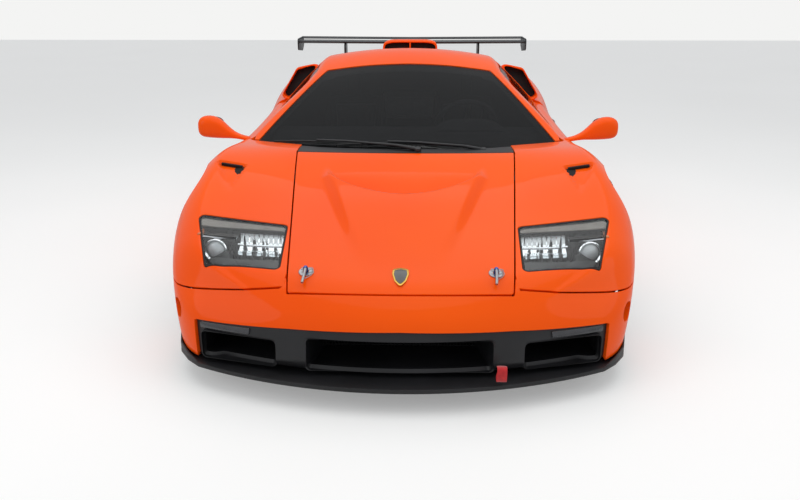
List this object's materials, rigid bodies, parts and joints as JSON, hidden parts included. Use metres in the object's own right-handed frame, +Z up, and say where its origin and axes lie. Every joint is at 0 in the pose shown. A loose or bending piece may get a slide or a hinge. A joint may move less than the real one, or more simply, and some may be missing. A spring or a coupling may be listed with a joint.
{
  "type": "mid-engined supercar",
  "caption": "Low orange mid-engined two-seat supercar with upward-opening doors, front and engine lids, steered front wheels, a splitter and a tall rear wing.",
  "frame": {"origin": "on the ground, below the middle of the car", "axes": "+X to the car's left, the front faces -Y, +Z up"},
  "size_m": [2.23, 4.4198, 1.158],
  "materials": {
    "orange_paint": "gloss",
    "satin_black": "satin",
    "carbon": "satin",
    "dark_glass": "gloss",
    "clear_lens": "gloss",
    "lamp_bowl": "gloss",
    "red_lens": "gloss",
    "alloy": "satin",
    "steel": "satin",
    "iron": "matte",
    "tyre": "matte",
    "black_rubber": "matte",
    "cloth": "matte",
    "red_web": "matte"
  },
  "bodies": {
    "chassis": {"tub": "satin_black", "frame_panels": "satin_black", "cabin_frame": "orange_paint", "windscreen": "dark_glass", "wipers": "black_rubber", "dashboard": "satin_black", "seat_left": "cloth", "seat_right": "cloth", "fender_left": "orange_paint", "fender_right": "orange_paint", "front_bumper": "orange_paint", "front_duct": "satin_black", "front_splitter": "satin_black", "tow_strap": "red_web", "headlamps": "lamp_bowl", "headlamp_covers": "clear_lens", "quarter_left": "orange_paint", "quarter_right": "orange_paint", "rear_bumper": "orange_paint", "rear_panel": "satin_black", "tail_lamps": "red_lens", "diffuser": "satin_black", "exhaust": "steel", "rear_wing": "carbon", "engine": "iron", "front_suspension": "steel", "rear_suspension": "steel", "side_skirts": "satin_black"},
    "front_lid": {"front_lid": "orange_paint"},
    "engine_lid": {"engine_lid": "orange_paint", "roof_scoop": "orange_paint"},
    "door_left": {"door_left": "orange_paint", "door_glass_left": "dark_glass", "mirror_left": "orange_paint"},
    "door_right": {"door_right": "orange_paint", "door_glass_right": "dark_glass", "mirror_right": "orange_paint"},
    "steering_wheel": {"steering_wheel": "black_rubber"},
    "knuckle_left": {"knuckle_left": "iron"},
    "knuckle_right": {"knuckle_right": "iron"},
    "wheel_front_left": {"rim_front_left": "alloy", "tyre_front_left": "tyre"},
    "wheel_front_right": {"rim_front_right": "alloy", "tyre_front_right": "tyre"},
    "wheel_rear_left": {"rim_rear_left": "alloy", "tyre_rear_left": "tyre"},
    "wheel_rear_right": {"rim_rear_right": "alloy", "tyre_rear_right": "tyre"}
  },
  "joints": [
    {"name": "door_left_hinge", "type": "hinge", "parent": "chassis", "child": "door_left", "pos_m": [0.81, -0.65, 0.705], "axis": [1, 0, 0], "range_deg": [0, 68]},
    {"name": "door_right_hinge", "type": "hinge", "parent": "chassis", "child": "door_right", "pos_m": [-0.81, -0.65, 0.705], "axis": [1, 0, 0], "range_deg": [0, 68]},
    {"name": "front_lid_hinge", "type": "hinge", "parent": "chassis", "child": "front_lid", "pos_m": [0, -1, 0.706], "axis": [-1, 0, 0], "range_deg": [0, 50]},
    {"name": "engine_lid_hinge", "type": "hinge", "parent": "chassis", "child": "engine_lid", "pos_m": [0, 0.702, 1.1], "axis": [1, 0, 0], "range_deg": [0, 50]},
    {"name": "steering_left", "type": "hinge", "parent": "chassis", "child": "knuckle_left", "pos_m": [0.762, -1.185, 0.314], "axis": [0, 0, 1], "range_deg": [-30, 30]},
    {"name": "steering_right", "type": "hinge", "parent": "chassis", "child": "knuckle_right", "pos_m": [-0.762, -1.185, 0.314], "axis": [0, 0, 1], "range_deg": [-30, 30]},
    {"name": "steering_wheel_turn", "type": "hinge", "parent": "chassis", "child": "steering_wheel", "pos_m": [0.34, -0.26, 0.7], "axis": [0, -0.9272, -0.3746], "range_deg": [-450, 450]},
    {"name": "wheel_front_left_spin", "type": "hinge", "parent": "knuckle_left", "child": "wheel_front_left", "pos_m": [0.825, -1.185, 0.314], "axis": [1, 0, 0], "continuous": true},
    {"name": "wheel_front_right_spin", "type": "hinge", "parent": "knuckle_right", "child": "wheel_front_right", "pos_m": [-0.825, -1.185, 0.314], "axis": [1, 0, 0], "continuous": true},
    {"name": "wheel_rear_left_spin", "type": "hinge", "parent": "chassis", "child": "wheel_rear_left", "pos_m": [0.835, 1.465, 0.329], "axis": [1, 0, 0], "continuous": true},
    {"name": "wheel_rear_right_spin", "type": "hinge", "parent": "chassis", "child": "wheel_rear_right", "pos_m": [-0.835, 1.465, 0.329], "axis": [1, 0, 0], "continuous": true}
  ],
  "couplings": [
    {"joint": "steering_right", "follows": "steering_left", "ratio": 1},
    {"joint": "steering_wheel_turn", "follows": "steering_left", "ratio": 15}
  ]
}
